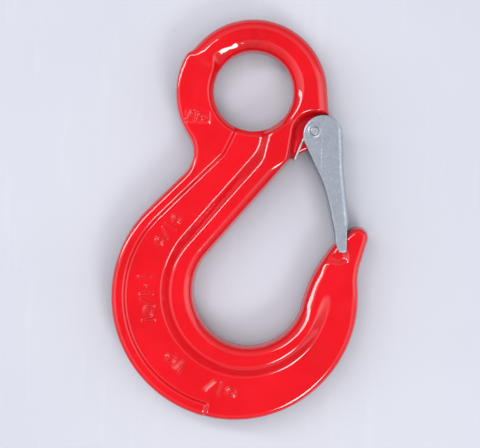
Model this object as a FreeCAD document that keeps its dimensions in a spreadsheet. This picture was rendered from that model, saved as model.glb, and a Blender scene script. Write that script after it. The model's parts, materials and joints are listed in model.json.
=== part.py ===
# Eye sling hook with latch, for 10 mm lifting chain: a forged hook, a sheet latch, its pin and spring.
#
# Millimetres. The hook lies flat. The origin is the centre of the eye's bore, on the forging's
# mid-plane. +Z is the bore's axis, +Y points from the bowl to the eye, and +X from the back of the
# hook to the latch and the point. Both faces are alike, so everything is symmetrical about Z = 0.
#
# Angles are in degrees, leftwards from +X. A "drop" is a distance below the origin along -Y, and a
# "right" or "left" is a distance along +X or -X.
import FreeCAD
import Part
import Sketcher
import math
import os
from FreeCAD import Placement, Rotation, Vector

os.makedirs("parts", exist_ok=True)
doc = FreeCAD.newDocument("EyeHook")
sheet = doc.addObject("Spreadsheet::Sheet", "sheet")

SIZES = {
    # eye: a round bore with flared mouths in a ring that is thicker on its left side
    "eye_bore_radius": 17.8,
    "eye_land": 8.0,
    "eye_shift_down": 0.8,
    "eye_outer_radius": 33.5,
    "eye_thickness": 16.0,
    "eye_rounding": 3.4,
    "eye_edge_radius": 20.3,
    "eye_crest_radius": 24.0,
    "crest_start": 137.0,
    "crest_sweep": 200.0,
    "lobe_radius": 35.1,
    "lobe_step_start": 145.5,
    "lobe_step_end": 149.5,
    # bowl, back and shank
    "bowl_drop": 89.1,
    "bowl_radius": 24.5,
    "back_left": 6.1,
    "back_drop": 91.9,
    "back_radius": 55.7,
    "shank_inner_heading": 50.0,
    "shank_outer_heading": 45.3,
    "neck_radius": 13.0,
    # point
    "tip_right": 48.2,
    "tip_drop": 64.2,
    "tip_radius": 5.2,
    "tip_lean": 16.0,
    "tip_root_radius": 28.0,
    "tip_inner_radius": 62.0,
    # web: the thin middle of the I-section, and the ramp by which it meets the eye
    "web_thickness": 11.0,
    "web_rounding": 2.2,
    "ramp_length": 14.0,
    "ramp_left": 19.0,
    "ramp_left_drop": 28.0,
    "ramp_right": 4.0,
    "ramp_right_drop": 33.0,
    # flange: the thick inner edge, which slopes down to the web
    "flange_thickness": 21.0,
    "flange_left": 1.5,
    "flange_drop": 90.0,
    "flange_radius": 33.2,
    "flange_slope": 4.4,
    "flange_rounding": 4.2,
    "flange_lean": 74.5,
    "flange_foot_lean": 80.0,
    "flange_end_drop": 76.4,
    "flange_end_slope": 3.2,
    "flange_run": 47.0,
    "flange_bend_radius": 14.0,
    "flange_bend_heading": 77.0,
    "flange_fall_run": 64.0,
    # rim: the band along the back
    "rim_thickness": 14.4,
    "rim_width": 6.4,
    "rim_rounding": 2.4,
    "rim_end": 257.0,
    "rim_rise": 17.0,
    # ear: the thin lug that carries the latch, in a recess
    "pin_right": 27.4,
    "pin_drop": 17.4,
    "ear_radius": 7.6,
    "ear_root_radius": 23.0,
    "ear_thickness": 7.6,
    "ear_rounding": 1.2,
    "seat_right": 27.8,
    "seat_drop": 18.6,
    "seat_radius": 9.9,
    "ear_bore_clearance": 0.05,
    # latch: a channel pressed from sheet, whose cheeks run on as two fingers past the point
    "latch_width": 18.0,
    "latch_sheet": 1.8,
    "latch_bend_radius": 2.4,
    "crown_right": 31.3,
    "crown_drop": 19.0,
    "crown_radius": 8.8,
    "spine_lean": 3.0,
    "spine_knee_drop": 34.0,
    "spine_lower_lean": 7.0,
    "spine_top_drop": 14.6,
    "spine_end_drop": 57.6,
    "rest_gap": 0.15,
    "cheek_heading": 296.4,
    "cheek_run": 15.0,
    "cheek_bow_radius": 62.0,
    "finger_heading": 278.0,
    "finger_run": 10.0,
    "finger_end_drop": 71.0,
    "finger_width": 4.2,
    "finger_corner": 1.2,
    "lip_radius": 2.95,
    "lip_height": 0.35,
    # pin and spring
    "pin_radius": 2.25,
    "pin_length": 19.2,
    "pin_chamfer": 0.35,
    "wire_radius": 0.5,
    "wire_gap": 0.12,
    "coil_radius": 2.95,
    "coil_pitch": 1.05,
    "bridge_leg_heading": 68.0,
    "spine_leg_heading": -68.6,
    "spine_leg_drop": 38.0,
    "spine_leg_toe": 4.0,
}
for row, (alias, value) in enumerate(SIZES.items(), start=1):
    sheet.set(f"A{row}", alias)
    sheet.set(f"B{row}", str(value))
    sheet.setAlias(f"B{row}", alias)
doc.recompute()


def size(alias):
    return float(getattr(sheet, alias))


# ---------------------------------------------------------------- geometry in the plane

def polar(centre, radius, degrees):
    turn = math.radians(degrees)
    return Vector(centre.x + radius * math.cos(turn), centre.y + radius * math.sin(turn), 0)


def bearing(centre, point):
    return math.degrees(math.atan2(point.y - centre.y, point.x - centre.x))


def foot_on_line(point, line_point, heading):
    way = polar(Vector(), 1, heading)
    return line_point + way * (point - line_point).dot(way)


def line_meets_circle(point, heading, centre, radius, leaving=True):
    """Where a line, followed along its heading, leaves or enters a circle."""
    foot = foot_on_line(centre, point, heading)
    along = math.sqrt(radius ** 2 - (foot - centre).Length ** 2)
    return polar(foot, along if leaving else -along, heading)


def circles_meet(first, first_radius, second, second_radius):
    """The point on both circles that is left of the way from the first centre to the second."""
    span = second - first
    along = (first_radius ** 2 - second_radius ** 2 + span.Length ** 2) / (2 * span.Length)
    across = math.sqrt(first_radius ** 2 - along ** 2)
    way = Vector(span).normalize()
    return first + way * along + Vector(-way.y, way.x, 0) * across


def flat(point):
    return Vector(point.x, point.y, 0)


def raised(point, height):
    return Vector(point.x, point.y, height)


# ---------------------------------------------------------------- bodies and sketches

def new_body(label):
    body = doc.addObject("PartDesign::Body", label)
    body.Label = label
    return body


def origin_plane(body, role):
    return next(item for item in body.Origin.OriginFeatures if item.Role == role)


def sketch_on(body, name, role="XY_Plane", height=None):
    sketch = body.newObject("Sketcher::SketchObject", name)
    sketch.AttachmentSupport = (origin_plane(body, role), [""])
    sketch.MapMode = "FlatFace"
    if height:
        sketch.setExpression("AttachmentOffset.Base.z", height)
    return sketch


def line(start, end):
    return {"curve": Part.LineSegment(start, end), "start": 1, "end": 2}


def arc(centre, radius, first, last):
    """An arc travelled from one bearing to another: leftwards if the last is the larger."""
    low, high = sorted((math.radians(first), math.radians(last)))
    circle = Part.Circle(centre, Vector(0, 0, 1), radius)
    ends = (1, 2) if last > first else (2, 1)
    return {"curve": Part.ArcOfCircle(circle, low, high), "start": ends[0], "end": ends[1]}


def polygon(corners):
    return [line(first, second) for first, second in zip(corners, corners[1:] + corners[:1])]


def draw_loop(sketch, pieces, smooth=()):
    """Draws a closed loop; the pieces numbered in smooth run tangentially into the next."""
    for piece in pieces:
        sketch.addGeometry(piece["curve"], False)
    for number, piece in enumerate(pieces):
        following = (number + 1) % len(pieces)
        kind = "Tangent" if number in smooth else "Coincident"
        sketch.addConstraint(Sketcher.Constraint(
            kind, number, piece["end"], following, pieces[following]["start"]))


def bind_radius(sketch, piece, alias):
    place = sketch.addConstraint(Sketcher.Constraint("Radius", piece, size(alias)))
    sketch.setExpression(f"Constraints[{place}]", f"sheet.{alias}")


def bind_centre(sketch, piece, right, up):
    """Ties a circle's centre to the origin by expressions in the sheet's cells."""
    for kind, expression in (("DistanceX", right), ("DistanceY", up)):
        place = sketch.addConstraint(Sketcher.Constraint(kind, -1, 1, piece, 3, 0.0))
        sketch.setExpression(f"Constraints[{place}]", expression)


def bind_heading(sketch, piece, expression):
    place = sketch.addConstraint(Sketcher.Constraint("Angle", piece, 0.0))
    sketch.setExpression(f"Constraints[{place}]", expression)


def pin_circle(sketch, alias):
    """A circle on the latch pin's axis."""
    sketch.addGeometry(Part.Circle(PIN, Vector(0, 0, 1), size(alias)), False)
    bind_radius(sketch, 0, alias)
    bind_centre(sketch, 0, "sheet.pin_right", "-sheet.pin_drop")


def pad(body, name, sketch, length):
    """Thickens a sketch equally above and below the mid-plane."""
    feature = body.newObject("PartDesign::Pad", name)
    feature.Profile = sketch
    feature.SideType = "Symmetric"
    feature.setExpression("Length", length)
    return feature


def pocket(body, name, sketch, length):
    """Cuts a sketch out equally above and below the mid-plane, and checks that it cut."""
    doc.recompute()
    before = body.Shape.Volume
    feature = body.newObject("PartDesign::Pocket", name)
    feature.Profile = sketch
    feature.SideType = "Symmetric"
    feature.setExpression("Length", length)
    doc.recompute()
    if not body.Shape.Volume < before:
        raise RuntimeError(f"{name} cuts nothing")
    return feature


def loft_up_and_down(body, name, lower, upper):
    """Joins two outlines at different heights by straight slopes, on both faces."""
    feature = body.newObject("PartDesign::AdditiveLoft", name)
    feature.Profile = lower
    feature.Sections = [upper]
    feature.Ruled = True
    mirrored = body.newObject("PartDesign::Mirrored", f"{name}_below")
    mirrored.Originals = [feature]
    mirrored.MirrorPlane = (origin_plane(body, "XY_Plane"), [""])
    body.Tip = mirrored
    return mirrored


# ---------------------------------------------------------------- picking edges to round

def middle(edge):
    return edge.valueAt((edge.FirstParameter + edge.LastParameter) / 2)


def at_level(edge, level):
    return edge.BoundBox.ZLength < 0.01 and abs(abs(middle(edge).z) - level) < 0.01


def on_circle(centre, radius):
    return lambda point: abs((point - centre).Length - radius) < 0.02


def on_line(line_point, heading):
    return lambda point: (foot_on_line(point, line_point, heading) - point).Length < 0.02


def round_edges(body, name, base, radius, level, places):
    """Fillets a feature's flat edges at one level whose middles lie on any of the places."""
    doc.recompute()
    names = [f"Edge{number}" for number, edge in enumerate(base.Shape.Edges, start=1)
             if at_level(edge, level) and any(place(flat(middle(edge))) for place in places)]
    feature = body.newObject("PartDesign::Fillet", name)
    feature.Base = (base, names)
    feature.setExpression("Radius", radius)
    return feature


# ---------------------------------------------------------------- the hook's outline

EYE = Vector(0, -size("eye_shift_down"), 0)
BOWL = Vector(0, -size("bowl_drop"), 0)
BACK = Vector(-size("back_left"), -size("back_drop"), 0)
TIP = Vector(size("tip_right"), -size("tip_drop"), 0)
PIN = Vector(size("pin_right"), -size("pin_drop"), 0)

# shank: two straight sides, tangent to the bowl and to the back
INNER = size("shank_inner_heading")
OUTER = size("shank_outer_heading")
SHANK_INNER = polar(BOWL, size("bowl_radius"), INNER + 90)
SHANK_OUTER = polar(BACK, size("back_radius"), OUTER + 90)

# neck: a hollow arc from the eye's lobe to the shank's outer side
NECK = line_meets_circle(polar(SHANK_OUTER, size("neck_radius"), OUTER + 90), OUTER,
                         EYE, size("lobe_radius") + size("neck_radius"), leaving=False)
NECK_FOOT = foot_on_line(NECK, SHANK_OUTER, OUTER)

# point: a round tip, its straight outer side and hollow root, and a long inner arc to the bowl
TIP_HEADING = 90 - size("tip_lean")
TIP_OUTER = polar(TIP, size("tip_radius"), TIP_HEADING - 90)
TIP_ROOT = line_meets_circle(polar(TIP_OUTER, size("tip_root_radius"), TIP_HEADING - 90), TIP_HEADING,
                             BACK, size("back_radius") + size("tip_root_radius"))
TIP_ROOT_FOOT = foot_on_line(TIP_ROOT, TIP_OUTER, TIP_HEADING)
TIP_INNER = circles_meet(TIP, size("tip_inner_radius") - size("tip_radius"),
                         BOWL, size("bowl_radius") + size("tip_inner_radius"))

# ear: a round nose about the pin, a hollow arc to the shank and a straight side to the eye
EAR_ROOT = line_meets_circle(polar(SHANK_INNER, size("ear_root_radius"), INNER - 90), INNER,
                             PIN, size("ear_radius") + size("ear_root_radius"), leaving=False)
EAR_ROOT_FOOT = foot_on_line(EAR_ROOT, SHANK_INNER, INNER)
EAR_BEARING = bearing(EYE, PIN) + math.degrees(
    math.acos((size("eye_outer_radius") - size("ear_radius")) / (PIN - EYE).Length))
EAR_TOP = polar(PIN, size("ear_radius"), EAR_BEARING)
EYE_RIGHT = polar(EYE, size("eye_outer_radius"), EAR_BEARING)
SHANK_CORNER = polar(EAR_ROOT_FOOT, 2.5, 90)
EAR_ROOT_CUT = 125.0

ON_EYE = on_circle(EYE, size("eye_outer_radius"))
ON_NECK = on_circle(NECK, size("neck_radius"))
ON_SHANK_OUTER = on_line(SHANK_OUTER, OUTER)
ON_BACK = on_circle(BACK, size("back_radius"))
ON_TIP = [on_circle(TIP_ROOT, size("tip_root_radius")), on_line(TIP_OUTER, TIP_HEADING),
          on_circle(TIP, size("tip_radius"))]
ON_THROAT = [on_circle(TIP_INNER, size("tip_inner_radius")), on_circle(BOWL, size("bowl_radius")),
             on_line(SHANK_INNER, INNER)]
ON_EAR_ROOT = on_circle(EAR_ROOT, size("ear_root_radius"))
ON_EAR = on_circle(PIN, size("ear_radius"))


def eye_side():
    """The eye's outline leftwards from the ear to the neck, with the step out to the lobe."""
    radius = size("eye_outer_radius")
    lobe = size("lobe_radius")
    first = size("lobe_step_start")
    last = size("lobe_step_end")
    return [
        arc(EYE, radius, EAR_BEARING, first),
        line(polar(EYE, radius, first), polar(EYE, lobe, last)),
        arc(EYE, lobe, last, bearing(EYE, NECK) + 360),
    ]


def neck_arc():
    return arc(NECK, size("neck_radius"), bearing(NECK, EYE), OUTER - 90)


def back_arc(last):
    return arc(BACK, size("back_radius"), OUTER + 90, last)


def throat_side(first):
    """The inside edge from a bearing on the point's inner arc, round the bowl and up the shank."""
    return [
        arc(TIP_INNER, size("tip_inner_radius"), first, bearing(TIP_INNER, BOWL)),
        arc(BOWL, size("bowl_radius"), bearing(BOWL, TIP_INNER), INNER + 90 - 360),
        line(SHANK_INNER, EAR_ROOT_FOOT),
    ]


def ear_root_arc(last):
    return arc(EAR_ROOT, size("ear_root_radius"), INNER + 90, last)


def ear_arc():
    return arc(PIN, size("ear_radius"), bearing(PIN, EAR_ROOT), EAR_BEARING)


# ---------------------------------------------------------------- web: the whole outline as a plate

def bind_outline(sketch):
    """Dimensions for the outline's arcs and sloping lines, all driven by the sheet."""
    radii = {0: "eye_outer_radius", 2: "lobe_radius", 3: "neck_radius", 5: "back_radius",
             6: "tip_root_radius", 8: "tip_radius", 9: "tip_inner_radius", 10: "bowl_radius",
             12: "ear_root_radius", 13: "ear_radius"}
    for piece, alias in radii.items():
        bind_radius(sketch, piece, alias)
    for piece in (0, 2):
        bind_centre(sketch, piece, "0 mm", "-sheet.eye_shift_down")
    bind_centre(sketch, 5, "-sheet.back_left", "-sheet.back_drop")
    bind_centre(sketch, 8, "sheet.tip_right", "-sheet.tip_drop")
    bind_centre(sketch, 10, "0 mm", "-sheet.bowl_drop")
    bind_centre(sketch, 13, "sheet.pin_right", "-sheet.pin_drop")
    bind_heading(sketch, 4, "(sheet.shank_outer_heading - 180) * 1 deg")
    bind_heading(sketch, 7, "(90 - sheet.tip_lean) * 1 deg")
    bind_heading(sketch, 11, "sheet.shank_inner_heading * 1 deg")


def build_web():
    body = new_body("web")
    sketch = sketch_on(body, "web_outline")
    draw_loop(sketch, [
        *eye_side(),
        neck_arc(),
        line(NECK_FOOT, SHANK_OUTER),
        back_arc(bearing(BACK, TIP_ROOT) + 360),
        arc(TIP_ROOT, size("tip_root_radius"), bearing(TIP_ROOT, BACK) + 360, TIP_HEADING + 90),
        line(TIP_ROOT_FOOT, TIP_OUTER),
        arc(TIP, size("tip_radius"), TIP_HEADING - 90, bearing(TIP_INNER, TIP)),
        *throat_side(bearing(TIP_INNER, TIP)),
        ear_root_arc(bearing(EAR_ROOT, PIN)),
        ear_arc(),
        line(EAR_TOP, EYE_RIGHT),
    ], smooth=range(2, 15))
    bind_outline(sketch)
    web = pad(body, "web_pad", sketch, "sheet.web_thickness")
    round_edges(body, "web_edges", web, "sheet.web_rounding", size("web_thickness") / 2,
                [ON_NECK, ON_SHANK_OUTER, ON_BACK, *ON_TIP, *ON_THROAT])
    return body


# ---------------------------------------------------------------- flange: the thick inner edge

def flange_loop(spread):
    """The flange's outline. Spread is 0 at its top, 1 where its slope meets the web, and so on."""
    slope = spread * size("flange_slope")
    radius = size("flange_radius") + slope
    centre = Vector(-size("flange_left"), -size("flange_drop"), 0)
    lean = size("flange_lean") * (1 - spread) + size("flange_foot_lean") * spread
    end_height = spread * size("flange_end_slope") - size("flange_end_drop")
    outer_start = polar(centre, radius, lean - 90)
    outer_end = polar(outer_start, (end_height - outer_start.y) / math.sin(math.radians(lean)), lean)
    inner_bearing = 180 - math.degrees(math.asin((end_height - TIP_INNER.y) / size("tip_inner_radius")))
    inner_end = polar(TIP_INNER, size("tip_inner_radius"), inner_bearing)
    shank_foot = polar(centre, radius, INNER + 90)
    bend_start = polar(shank_foot, size("flange_run"), INNER)
    bend_radius = size("flange_bend_radius")
    bend_heading = size("flange_bend_heading")
    bend = polar(bend_start, bend_radius, INNER + 90)
    bend_end = polar(bend, bend_radius, bend_heading - 90)
    in_bore = polar(bend_end, 10, bend_heading)
    in_ring = Vector(21, -12, 0)
    return [
        line(outer_end, inner_end),
        *throat_side(inner_bearing),
        ear_root_arc(EAR_ROOT_CUT),
        line(polar(EAR_ROOT, size("ear_root_radius"), EAR_ROOT_CUT), in_ring),
        line(in_ring, in_bore),
        line(in_bore, bend_end),
        arc(bend, bend_radius, bend_heading - 90, INNER - 90),
        line(bend_start, shank_foot),
        arc(centre, radius, INNER + 90, lean + 270),
        line(outer_start, outer_end),
    ]


def build_flange():
    body = new_body("flange")
    height = size("flange_thickness") / 2
    foot_spread = height / (height - size("web_thickness") / 2)
    lower = sketch_on(body, "flange_middle")
    draw_loop(lower, flange_loop(foot_spread))
    upper = sketch_on(body, "flange_top", height="sheet.flange_thickness / 2")
    draw_loop(upper, flange_loop(0))
    whole = loft_up_and_down(body, "flange_loft", lower, upper)
    round_edges(body, "flange_edges", whole, "sheet.flange_rounding", height, [*ON_THROAT, ON_EAR_ROOT])
    return body


def build_fall_tool():
    """Takes the flange's top down in a straight fall from the bowl to the eye, on both faces."""
    body = new_body("fall_tool")
    high = size("flange_thickness") / 2
    low = size("eye_thickness") / 2 + 0.1
    run = size("flange_fall_run")
    far = 2 * size("back_radius")
    outside = high + 5
    profile = [(0, high), (run, low), (far, low), (far, -low), (run, -low), (0, -high),
               (0, -outside), (far + 5, -outside), (far + 5, outside), (0, outside)]
    sketch = sketch_on(body, "fall_profile", role="XZ_Plane")
    draw_loop(sketch, polygon([Vector(along, up, 0) for along, up in profile]))
    pad(body, "fall_pad", sketch, "4 * sheet.back_radius")
    body.Placement = Placement(SHANK_INNER, Rotation(Vector(0, 0, 1), INNER))
    return body


# ---------------------------------------------------------------- rim: the raised band along the back

def build_rim():
    body = new_body("rim")
    inset = size("back_radius") - size("rim_width")
    last = size("rim_end")
    neck_top = polar(NECK, size("neck_radius"), bearing(NECK, EYE))
    inner_top = polar(polar(NECK_FOOT, size("rim_width"), OUTER - 90), size("rim_rise"), OUTER)
    sketch = sketch_on(body, "rim_outline")
    draw_loop(sketch, [
        neck_arc(),
        line(NECK_FOOT, SHANK_OUTER),
        back_arc(last),
        line(polar(BACK, size("back_radius"), last), polar(BACK, inset, last)),
        arc(BACK, inset, last, OUTER + 90),
        line(polar(BACK, inset, OUTER + 90), inner_top),
        line(inner_top, neck_top),
    ])
    rim = pad(body, "rim_pad", sketch, "sheet.rim_thickness")
    round_edges(body, "rim_edges", rim, "sheet.rim_rounding", size("rim_thickness") / 2,
                [ON_NECK, ON_SHANK_OUTER, ON_BACK])
    return body


# ---------------------------------------------------------------- eye: its ring, and the neck's ramp

def eye_loop(shift):
    """The eye's outline, with its lower side moved down the shank by the shift."""
    left_end = Vector(-size("ramp_left"), -size("ramp_left_drop"), 0)
    right_end = Vector(size("ramp_right"), -size("ramp_right_drop"), 0)
    left_end = polar(left_end, shift, OUTER - 180)
    right_end = polar(right_end, shift, OUTER - 180)
    return [
        *eye_side(),
        line(polar(EYE, size("lobe_radius"), bearing(EYE, NECK)), left_end),
        line(left_end, right_end),
        line(right_end, SHANK_CORNER),
        line(SHANK_CORNER, EAR_TOP),
        line(EAR_TOP, EYE_RIGHT),
    ]


def build_eye():
    body = new_body("eye")
    height = size("eye_thickness") / 2
    web_height = size("web_thickness") / 2
    foot_shift = size("ramp_length") * (height - web_height + 1) / (height - web_height)
    core = sketch_on(body, "eye_core")
    draw_loop(core, eye_loop(foot_shift))
    pad(body, "eye_core_pad", core, "sheet.web_thickness - 2")
    lower = sketch_on(body, "eye_ramp_foot", height="sheet.web_thickness / 2 - 1")
    draw_loop(lower, eye_loop(foot_shift))
    upper = sketch_on(body, "eye_face", height="sheet.eye_thickness / 2")
    draw_loop(upper, eye_loop(0))
    whole = loft_up_and_down(body, "eye_ramp", lower, upper)
    round_edges(body, "eye_edges", whole, "sheet.eye_rounding", height, [ON_EYE])
    return body


def eye_bore():
    part = doc.addObject("Part::Cylinder", "eye_bore")
    part.setExpression("Radius", "sheet.eye_bore_radius")
    part.setExpression("Height", "2 * sheet.flange_thickness")
    part.Placement = Placement(Vector(0, 0, -size("flange_thickness")), Rotation())
    return part


def bore_mouth(name, crest, sweep, above):
    """Flares the bore from its land to a wider radius at the eye's face, and on beyond it."""
    part = doc.addObject("Part::Cone", name)
    widening = f"(sheet.{crest} - sheet.eye_bore_radius)"
    part.setExpression("Radius1", "sheet.eye_bore_radius")
    part.setExpression("Radius2", f"sheet.eye_bore_radius + 1.25 * {widening}")
    part.setExpression("Height", "1.25 * (sheet.eye_thickness - sheet.eye_land) / 2")
    part.setExpression("Angle", sweep)
    land = size("eye_land") / 2
    start = size("crest_start") - size("crest_sweep")
    if above:
        part.Placement = Placement(Vector(0, 0, land), Rotation(Vector(0, 0, 1), start))
    else:
        turn_over = Rotation(Vector(1, 0, 0), 180)
        turn = Rotation(Vector(0, 0, 1), size("crest_start")) * turn_over
        part.Placement = Placement(Vector(0, 0, -land), turn)
    return part


# ---------------------------------------------------------------- ear: the latch's lug in its recess

def build_seat_tool():
    """The recess: round about the pin, open to the right and down into the throat."""
    body = new_body("seat_tool")
    centre = Vector(size("seat_right"), -size("seat_drop"), 0)
    radius = size("seat_radius")
    low_left = polar(EAR_ROOT_FOOT, 2.8, 72)
    below = Vector(low_left.x + 6, -45, 0)
    outside = Vector(60, -45, 0)
    sketch = sketch_on(body, "seat_outline")
    draw_loop(sketch, [
        arc(centre, radius, 0, 180),
        line(polar(centre, radius, 180), low_left),
        line(low_left, below),
        line(below, outside),
        line(outside, Vector(outside.x, centre.y, 0)),
        line(Vector(outside.x, centre.y, 0), polar(centre, radius, 0)),
    ])
    pad(body, "seat_pad", sketch, "2 * sheet.flange_thickness")
    return body


def build_ear():
    body = new_body("ear")
    in_ring = Vector(20, -5, 0)
    in_shank = Vector(11, -28, 0)
    sketch = sketch_on(body, "ear_outline")
    draw_loop(sketch, [
        line(in_ring, in_shank),
        line(in_shank, EAR_ROOT_FOOT),
        ear_root_arc(bearing(EAR_ROOT, PIN)),
        ear_arc(),
        line(EAR_TOP, EYE_RIGHT),
        line(EYE_RIGHT, in_ring),
    ])
    ear = pad(body, "ear_pad", sketch, "sheet.ear_thickness")
    round_edges(body, "ear_edges", ear, "sheet.ear_rounding", size("ear_thickness") / 2,
                [ON_EAR, ON_EAR_ROOT])
    return body


def ear_bore():
    part = doc.addObject("Part::Cylinder", "ear_bore")
    part.setExpression("Radius", "sheet.pin_radius + sheet.ear_bore_clearance")
    part.setExpression("Height", "2 * sheet.flange_thickness")
    part.Placement = Placement(raised(PIN, -size("flange_thickness")), Rotation())
    return part


# ---------------------------------------------------------------- the forged hook

def fuse(name, shapes):
    joined = doc.addObject("Part::MultiFuse", name)
    joined.Shapes = shapes
    joined.Refine = True
    return joined


def cut(name, base, tools):
    cut_shape = doc.addObject("Part::Cut", name)
    cut_shape.Base = base
    cut_shape.Tool = fuse(f"{name}_tools", tools)
    cut_shape.Refine = True
    return cut_shape


def build_hook():
    forged = fuse("forged", [build_web(), build_flange(), build_rim(), build_eye()])
    seated = cut("seated", forged, [build_seat_tool(), build_fall_tool()])
    eared = fuse("eared", [seated, build_ear()])
    wide = "sheet.crest_sweep * 1 deg"
    hook = cut("hook_body", eared, [
        eye_bore(),
        ear_bore(),
        bore_mouth("edge_above", "eye_edge_radius", "360 deg", above=True),
        bore_mouth("edge_below", "eye_edge_radius", "360 deg", above=False),
        bore_mouth("crest_above", "eye_crest_radius", wide, above=True),
        bore_mouth("crest_below", "eye_crest_radius", wide, above=False),
    ])
    hook.Label = "hook_body"
    return hook


# ---------------------------------------------------------------- latch: a channel pressed from sheet

CROWN = Vector(size("crown_right"), -size("crown_drop"), 0)
SPINE_TOP = polar(CROWN, size("crown_radius"), 0)


def spine_point(drop, inset=0.0):
    """A point on the latch's back at a drop, or inside the back by the inset."""
    knee_drop = size("spine_knee_drop")
    upper = min(drop, knee_drop) - size("crown_drop")
    lower = max(drop - knee_drop, 0)
    right = (SPINE_TOP.x + upper * math.tan(math.radians(size("spine_lean")))
             + lower * math.tan(math.radians(size("spine_lower_lean"))))
    return Vector(right - inset, -drop, 0)


def cheek_loop():
    """The cheek: a round crown, a bowed inner side, a finger past the point, and the straight back."""
    heading = size("cheek_heading")
    finger = size("finger_heading")
    corner = size("finger_corner")
    left_start = polar(CROWN, size("crown_radius"), heading - 90)
    bow_start = polar(left_start, size("cheek_run"), heading)
    bow = polar(bow_start, size("cheek_bow_radius"), heading - 90)
    bow_end = polar(bow, size("cheek_bow_radius"), finger + 90)
    finger_left = polar(bow_end, size("finger_run"), finger)
    spine_end = spine_point(size("spine_end_drop"))
    shoulder = spine_end + Vector(-0.4, -3, 0)
    toe_right = Vector(shoulder.x - corner, -size("finger_end_drop"), 0)
    toe_left = Vector(shoulder.x - size("finger_width") + corner, -size("finger_end_drop"), 0)
    toe_side = toe_left + Vector(-0.7 * corner, 0.6 * corner, 0)
    return [
        arc(CROWN, size("crown_radius"), 0, heading - 90),
        line(left_start, bow_start),
        arc(bow, size("cheek_bow_radius"), heading + 90, finger + 90),
        line(bow_end, finger_left),
        line(finger_left, toe_side),
        line(toe_side, toe_left),
        line(toe_left, toe_right),
        arc(toe_right + Vector(0, corner, 0), corner, -90, 0),
        line(toe_right + Vector(corner, corner, 0), shoulder),
        line(shoulder, spine_end),
        line(spine_end, spine_point(size("spine_knee_drop"))),
        line(spine_point(size("spine_knee_drop")), SPINE_TOP),
    ]


def hollow_loop():
    """What the channel leaves open; the spine's lower end is cut to rest along the point's edge."""
    sheet_metal = size("latch_sheet")
    tip_bearing = bearing(TIP_INNER, spine_point(60.5))
    rest = polar(TIP_INNER, size("tip_inner_radius") + size("rest_gap"), tip_bearing)
    rest_heading = tip_bearing - 90
    inner_back = spine_point(61.5, sheet_metal).x - 0.1
    rest_end = polar(rest, (inner_back - rest.x) / math.cos(math.radians(rest_heading)), rest_heading)
    return polygon([
        spine_point(size("spine_top_drop"), sheet_metal),
        spine_point(size("spine_knee_drop"), sheet_metal),
        rest_end,
        polar(rest_end, 12, rest_heading),
        Vector(60, -80, 0),
        Vector(10, -80, 0),
        Vector(10, 0, 0),
        Vector(60, 0, 0),
        Vector(60, -size("spine_top_drop"), 0),
    ])


def build_latch():
    body = new_body("latch")
    outline = sketch_on(body, "cheek_outline")
    draw_loop(outline, cheek_loop())
    blank = pad(body, "latch_blank", outline, "sheet.latch_width")
    knee = spine_point(size("spine_knee_drop"))
    upper_back = on_circle((SPINE_TOP + knee) / 2, 0)
    lower_back = on_circle((spine_point(size("spine_end_drop")) + knee) / 2, 0)
    round_edges(body, "latch_bends", blank, "sheet.latch_bend_radius", size("latch_width") / 2,
                [upper_back, lower_back])
    lip = sketch_on(body, "lip_outline")
    pin_circle(lip, "lip_radius")
    pad(body, "lip_pad", lip, "sheet.latch_width + 2 * sheet.lip_height")
    hollow = sketch_on(body, "hollow_outline")
    draw_loop(hollow, hollow_loop())
    pocket(body, "latch_hollow", hollow, "sheet.latch_width - 2 * sheet.latch_sheet")
    hole = sketch_on(body, "pin_hole_outline")
    pin_circle(hole, "pin_radius")
    pocket(body, "pin_hole", hole, "2 * sheet.latch_width")
    return body


# ---------------------------------------------------------------- pin

def build_pin():
    body = new_body("latch_pin")
    sketch = sketch_on(body, "pin_outline")
    pin_circle(sketch, "pin_radius")
    pin = pad(body, "pin_pad", sketch, "sheet.pin_length")
    doc.recompute()
    chamfer = body.newObject("PartDesign::Chamfer", "pin_chamfer")
    chamfer.Base = (pin, [f"Edge{number}" for number, edge in enumerate(pin.Shape.Edges, start=1)
                          if at_level(edge, size("pin_length") / 2)])
    chamfer.setExpression("Size", "sheet.pin_chamfer")
    return body


# ---------------------------------------------------------------- spring: one bent wire, two coils

def wire_run(start, end):
    """A straight stretch of wire, with a ball at its end that rounds the bend into the next one."""
    wire = size("wire_radius")
    rod = Part.makeCylinder(wire, (end - start).Length, start, end - start)
    return rod.fuse(Part.makeSphere(1.1 * wire, end, end - start))


def coil_turns(level, rise):
    """The coil round the pin on one face, wound clockwise as it climbs."""
    coil = size("coil_radius")
    ring = Part.Wire([Part.makeCircle(size("wire_radius"), Vector(coil, 0, 0), Vector(0, 1, 0))])
    helix = Part.makeHelix(size("coil_pitch"), rise, coil, 0, True)
    turns = Part.Wire(helix).makePipeShell([ring], True, True)
    start = Rotation(Vector(0, 0, 1), size("bridge_leg_heading") + 90)
    turns.Placement = Placement(raised(PIN, level), start)
    return turns


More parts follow.
